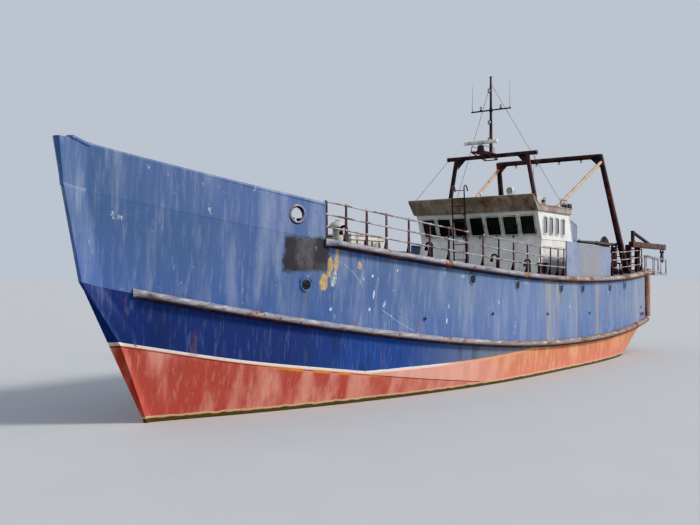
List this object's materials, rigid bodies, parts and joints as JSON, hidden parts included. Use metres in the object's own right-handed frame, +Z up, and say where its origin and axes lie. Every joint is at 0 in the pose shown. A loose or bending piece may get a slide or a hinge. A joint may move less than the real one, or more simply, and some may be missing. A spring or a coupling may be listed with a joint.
{
  "type": "stern trawler",
  "caption": "Steel shelter-deck stern trawler afloat, with a raked wheelhouse, stern gantry and gallows, net drum, winch, derrick, rudder and propeller.",
  "frame": {"origin": "on the centreline at midship in the waterline", "axes": "+X to the bow, +Y to port, +Z up"},
  "size_m": [33.61, 7.518, 14.7],
  "materials": {
    "topside_paint": "chalky blue hull paint, rust streaked",
    "bottom_paint": "red and orange antifouling, rusted",
    "belting_paint": "grey paint worn to rust",
    "white_paint": "white paint, chalky",
    "fascia_paint": "beige grey paint",
    "rusty_steel": "bare rusty steel",
    "dark_steel": "black greasy steel",
    "tan_paint": "tan paint with rust",
    "bronze": "cast bronze",
    "window_glass": "dark dusty glass"
  },
  "bodies": {
    "ship": {"hull_bottom": "bottom_paint", "shelter_deck_hull": "topside_paint", "keel": "bottom_paint", "stern_tube": "bronze", "rudder_trunk": "bottom_paint", "lower_belting_port": "belting_paint", "lower_belting_starboard": "belting_paint", "upper_belting_port": "belting_paint", "upper_belting_starboard": "belting_paint", "bow_bulwark": "topside_paint", "side_railing_port": "white_paint", "side_railing_starboard": "white_paint", "stern_railing": "white_paint", "quarter_bulwark_port": "topside_paint", "quarter_bulwark_starboard": "topside_paint", "wheelhouse_front": "white_paint", "wheelhouse_back": "white_paint", "wheelhouse_port_side": "white_paint", "wheelhouse_starboard_side": "white_paint", "windscreen": "window_glass", "back_glass": "window_glass", "port_glass": "window_glass", "starboard_glass": "window_glass", "wheelhouse_roof": "fascia_paint", "wheelhouse_ladder": "rusty_steel", "roof_mast": "rusty_steel", "funnel_port": "topside_paint", "funnel_starboard": "topside_paint", "floodlight_port": "dark_steel", "floodlight_starboard": "dark_steel", "stern_gantry": "rusty_steel", "gantry_strut_port": "tan_paint", "gantry_strut_starboard": "tan_paint", "gallows_port": "rusty_steel", "gallows_starboard": "rusty_steel", "derrick_post": "rusty_steel", "net_drum_stands": "dark_steel", "trawl_winch_drum_stands": "dark_steel", "windlass_drum_stands": "dark_steel", "hatch_coaming": "white_paint", "ventilator_port": "white_paint", "ventilator_starboard": "white_paint", "bow_bitts_port": "dark_steel", "bow_bitts_starboard": "dark_steel", "midship_bitts_port": "dark_steel", "midship_bitts_starboard": "dark_steel", "stern_frame": "white_paint"},
    "propeller": {"propeller": "bronze"},
    "rudder": {"rudder": "bottom_paint"},
    "wheelhouse_door": {"wheelhouse_door": "white_paint"},
    "radar_scanner": {"radar_scanner": "white_paint"},
    "derrick_boom": {"derrick_boom": "dark_steel"},
    "net_drum": {"net_drum": "rusty_steel"},
    "trawl_winch_drum": {"trawl_winch_drum": "rusty_steel"},
    "windlass_drum": {"windlass_drum": "rusty_steel"},
    "hatch_lid": {"hatch_lid": "white_paint"},
    "towing_block_port": {"towing_block_port": "dark_steel"},
    "towing_block_starboard": {"towing_block_starboard": "dark_steel"}
  },
  "joints": [
    {"name": "propeller_spin", "type": "hinge", "parent": "ship", "child": "propeller", "pos_m": [-10.8, 0, -1.78], "axis": [1, 0, 0], "continuous": true},
    {"name": "rudder_turn", "type": "hinge", "parent": "ship", "child": "rudder", "pos_m": [-12.35, 0, -1.7], "axis": [0, 0, 1], "range_deg": [-35, 35]},
    {"name": "wheelhouse_door_swing", "type": "hinge", "parent": "ship", "child": "wheelhouse_door", "pos_m": [-5.78, -2.698, 4.8], "axis": [0, 0, 1], "range_deg": [0, 95]},
    {"name": "radar_spin", "type": "hinge", "parent": "ship", "child": "radar_scanner", "pos_m": [-4.2, 0, 8.9], "axis": [0, 0, 1], "continuous": true},
    {"name": "derrick_luff", "type": "hinge", "parent": "ship", "child": "derrick_boom", "pos_m": [-11.55, 2.85, 5], "axis": [0, -1, 0], "range_deg": [0, 70]},
    {"name": "net_drum_spin", "type": "hinge", "parent": "ship", "child": "net_drum", "pos_m": [-13.75, 0, 4.78], "axis": [0, 1, 0], "continuous": true},
    {"name": "trawl_winch_spin", "type": "hinge", "parent": "ship", "child": "trawl_winch_drum", "pos_m": [-9.6, 0, 4.42], "axis": [0, 1, 0], "continuous": true},
    {"name": "windlass_spin", "type": "hinge", "parent": "ship", "child": "windlass_drum", "pos_m": [11.1, 0, 5.56], "axis": [0, 1, 0], "continuous": true},
    {"name": "hatch_lid_swing", "type": "hinge", "parent": "ship", "child": "hatch_lid", "pos_m": [4.05, 0, 4.805], "axis": [0, -1, 0], "range_deg": [0, 100]},
    {"name": "towing_block_port_swing", "type": "hinge", "parent": "ship", "child": "towing_block_port", "pos_m": [-17.65, 3.15, 4.8], "axis": [0, 1, 0], "range_deg": [-40, 40]},
    {"name": "towing_block_starboard_swing", "type": "hinge", "parent": "ship", "child": "towing_block_starboard", "pos_m": [-17.65, -3.15, 4.8], "axis": [0, 1, 0], "range_deg": [-40, 40]}
  ]
}
